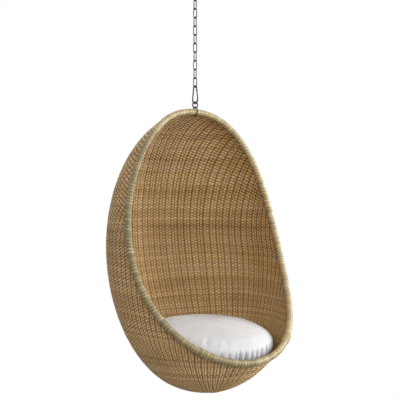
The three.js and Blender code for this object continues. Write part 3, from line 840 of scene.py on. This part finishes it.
def fill(thing):
    """Blows the cover up as cloth, and lets no point move further than the filling would push it."""
    remesh = thing.modifiers.new("remesh", "REMESH")
    remesh.mode = "VOXEL"
    remesh.voxel_size = 0.006
    bpy.context.view_layer.objects.active = thing
    bpy.ops.object.modifier_apply(modifier="remesh")
    count = len(thing.data.vertices)
    before = np.zeros(count * 3)
    thing.data.vertices.foreach_get("co", before)
    cloth = thing.modifiers.new("cloth", "CLOTH")
    cloth.settings.use_pressure = True
    cloth.settings.uniform_pressure_force = 4
    cloth.settings.effector_weights.gravity = 0
    cloth.settings.quality = 4
    cloth.settings.mass = 0.3
    for number in range(1, 21):
        bpy.context.scene.frame_set(number)
    bpy.ops.object.modifier_apply(modifier="cloth")
    bpy.context.scene.frame_set(1)
    after = np.zeros(count * 3)
    thing.data.vertices.foreach_get("co", after)
    moved = (after - before).reshape(-1, 3)
    length = np.linalg.norm(moved, axis=1, keepdims=True)
    moved *= np.minimum(1, CUSHION_SWELL * MM / np.maximum(length, 1e-9))
    thing.data.vertices.foreach_set("co", (before.reshape(-1, 3) + moved).ravel())


def gather(thing, centre):
    """Draws the cover in under the crest in folds of uneven width, as a gathered hem does."""
    count = len(thing.data.vertices)
    points = np.zeros(count * 3)
    thing.data.vertices.foreach_get("co", points)
    points = points.reshape(-1, 3) / MM
    arm = points - centre
    turn = np.arctan2(arm[:, 1], arm[:, 0])
    radius = np.hypot(arm[:, 0], arm[:, 1])
    edges = np.cumsum(rng.uniform(0.55, 1.45, FOLD_COUNT))
    edges *= 2 * np.pi / edges[-1]
    phase = np.interp(turn % (2 * np.pi), np.concatenate([[0], edges]), np.arange(FOLD_COUNT + 1))
    number = phase.astype(int) % FOLD_COUNT
    inside = phase - phase.astype(int)
    notch = 1 - np.abs(np.sin(np.pi * inside)) ** 0.55
    reach = rng.uniform(2.0, 12.0, FOLD_COUNT) + FOLD_RISE * np.cos(edges - FOLD_SIDE).clip(0) ** 2
    depths = rng.uniform(0.45, 1.0, FOLD_COUNT)
    nearest = np.where(inside > 0.5, (number + 1) % FOLD_COUNT, number)
    start = reach[nearest]
    below = np.clip((start - arm[:, 2]) / (start + 42.0), 0, 1)
    band = below**1.1 * np.clip((radius - 120) / 90, 0, 1)
    pull = -FOLD_DEPTH * depths[nearest] * notch * band
    sag = 1.6 * np.sin(3 * turn + 1.0) + 1.0 * np.sin(7 * turn)
    crease = sag * np.sin(np.pi * np.clip(radius / 290, 0, 1)) ** 2 * np.clip(arm[:, 2] / 40, 0, 1)
    points[:, 0] += pull * arm[:, 0] / radius
    points[:, 1] += pull * arm[:, 1] / radius
    points[:, 2] += -0.35 * pull + crease
    thing.data.vertices.foreach_set("co", (settle(points, centre) * MM).ravel())


def settle(points, centre):
    """Tips the cushion towards the lip and presses it into the round of the shell."""
    points = points + UP * (np.sin(CUSHION_TIP) * (points[:, 1:2] - centre[1]))
    drop = np.clip((POLE_AXIS_Z - points[:, 2]) / EGG_HEIGHT, 0, 1)
    level = np.arccos(1 - 2 * drop)
    middle = middle_y(level) - HANG_OFFSET
    back = points[:, 1] - middle
    room = SHELL_ROOM + LIP_ROOM * np.clip(-back / 200, 0, 1)
    ring = np.stack([points[:, 0] / (half_width(level) - room), back / (depth(level, back > 0) - room)], -1)
    press = np.minimum(1, 1 / np.maximum(np.linalg.norm(ring, axis=-1), 1e-9))
    return np.stack([points[:, 0] * press, middle + back * press, points[:, 2]], -1)


def build_cushion():
    (points, faces, _), centre = cushion_blank()
    thing = make_mesh("seat_cushion_cover", points, faces, COTTON)
    fill(thing)
    smooth = thing.modifiers.new("smooth", "SUBSURF")
    smooth.levels = smooth.render_levels = 1
    bpy.context.view_layer.objects.active = thing
    bpy.ops.object.modifier_apply(modifier="smooth")
    gather(thing, centre)
    thing.data.shade_smooth()
    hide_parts("seat_cushion")
    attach(thing, "seat_cushion")


# ---- ceiling fitting ----
def build_ceiling_fitting():
    edge = [(43.8, 0), (45, -1.2), (45, -6.4), (44.4, -7.5), (43, -8)]
    plate = lathe([(0, 0), *edge, (5, -8), (0, -8)], (0, 0, 0), 96)
    piece("ceiling_plate_disc", [plate], STEEL, "ceiling_fitting", ["ceiling_plate"], 35)
    heads = []
    for angle in (45, 135, 225, 315):
        x, y = 31 * math.cos(angle * DEG), 31 * math.sin(angle * DEG)
        dome = [(0, -9.1), (2.2, -9.0), (4.2, -8.6), (5.3, -8.05), (5.3, -7), (0, -7)]
        heads.append(lathe(dome, (x, y, 0), 32))
    piece("screw_heads", heads, DARK_STEEL, "ceiling_fitting", (), 40)
    turn = 2 * np.pi * np.arange(48) / 48
    path = EYE_RADIUS * (np.cos(turn)[:, None] * ALONG_Y + np.sin(turn)[:, None] * UP) + EYE_CENTRE_Z * UP
    stem = lathe([(0, -7.9), (4, -7.9), (4, -19.5), (3.4, -22.5), (0, -22.5)], (0, 0, 0), 32)
    eye = [wire_part(path, ALONG_X, EYE_WIRE), stem]
    piece("ceiling_eye_bolt", eye, STEEL, "ceiling_fitting", ["ceiling_eye"], 50)
    paint("eye_nut", STEEL)
    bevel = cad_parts["eye_nut"].modifiers.new("chamfer", "BEVEL")
    bevel.width = 0.0006
    bevel.segments = 2


# ---- stage ----
def build_stage():
    floor = bpy.data.meshes.new("floor")
    far = 40.0
    floor.from_pydata([(-far, -far, FLOOR_LEVEL), (far, -far, FLOOR_LEVEL), (far, far, FLOOR_LEVEL),
                       (-far, far, FLOOR_LEVEL)], [], [(0, 1, 2, 3)])
    n = Nodes("floor_paint")
    n.shade(Base_Color=(*FLOOR_GREY, 1), Roughness=1.0, Specular_IOR_Level=0.0)
    white = n.add("ShaderNodeEmission", {"Color": (1, 1, 1, 1), "Strength": 1.0})
    seen = n.add("ShaderNodeLightPath").outputs["Is Camera Ray"]
    mix = n.add("ShaderNodeMixShader", {0: seen, 1: n.shader.outputs[0], 2: white.outputs[0]})
    n.tree.links.new(mix.outputs[0], n.tree.nodes["Material Output"].inputs["Surface"])
    floor.materials.append(n.material)
    thing = bpy.data.objects.new("floor", floor)
    bpy.context.scene.collection.objects.link(thing)
    bpy.context.scene.world = studio_world()
    softbox("key", KEY_PLACE, KEY_SIZE, KEY_POWER)
    softbox("front", FRONT_PLACE, FRONT_SIZE, FRONT_POWER)
    bpy.context.scene.view_settings.view_transform = "Standard"


def studio_world():
    """Even light from all round, in front of a white background."""
    world = bpy.data.worlds.new("studio")
    world.use_nodes = True
    tree = world.node_tree
    light = tree.nodes["Background"]
    light.inputs["Color"].default_value = (1, 1, 1, 1)
    light.inputs["Strength"].default_value = WORLD_LIGHT
    white = tree.nodes.new("ShaderNodeBackground")
    white.inputs["Color"].default_value = (1, 1, 1, 1)
    seen = tree.nodes.new("ShaderNodeLightPath")
    mix = tree.nodes.new("ShaderNodeMixShader")
    tree.links.new(seen.outputs["Is Camera Ray"], mix.inputs[0])
    tree.links.new(light.outputs[0], mix.inputs[1])
    tree.links.new(white.outputs[0], mix.inputs[2])
    tree.links.new(mix.outputs[0], tree.nodes["World Output"].inputs["Surface"])
    return world


def softbox(name, place, size, power):
    """A square lamp that faces the middle of the chair."""
    lamp = bpy.data.lights.new(name, "AREA")
    lamp.size = size
    lamp.energy = power
    thing = bpy.data.objects.new(name, lamp)
    thing.location = place
    aim = np.array(LIGHT_AIM) - np.array(place)
    thing.rotation_euler = Vector(aim).to_track_quat("-Z", "Y").to_euler()
    bpy.context.scene.collection.objects.link(thing)


def build_camera():
    camera = bpy.data.objects.new("camera", bpy.data.cameras.new("camera"))
    camera.data.lens = CAMERA_LENS
    camera.data.sensor_width = 36.0
    camera.location = CAMERA_PLACE
    camera.rotation_euler = (math.pi / 2, 0, CAMERA_TURN * DEG)
    bpy.context.scene.collection.objects.link(camera)
    bpy.context.scene.camera = camera


build_camera()
build_stage()
build_weave()
build_rim()
build_chain()
build_ring_and_loop()
build_hook()
build_ceiling_fitting()
build_cushion()
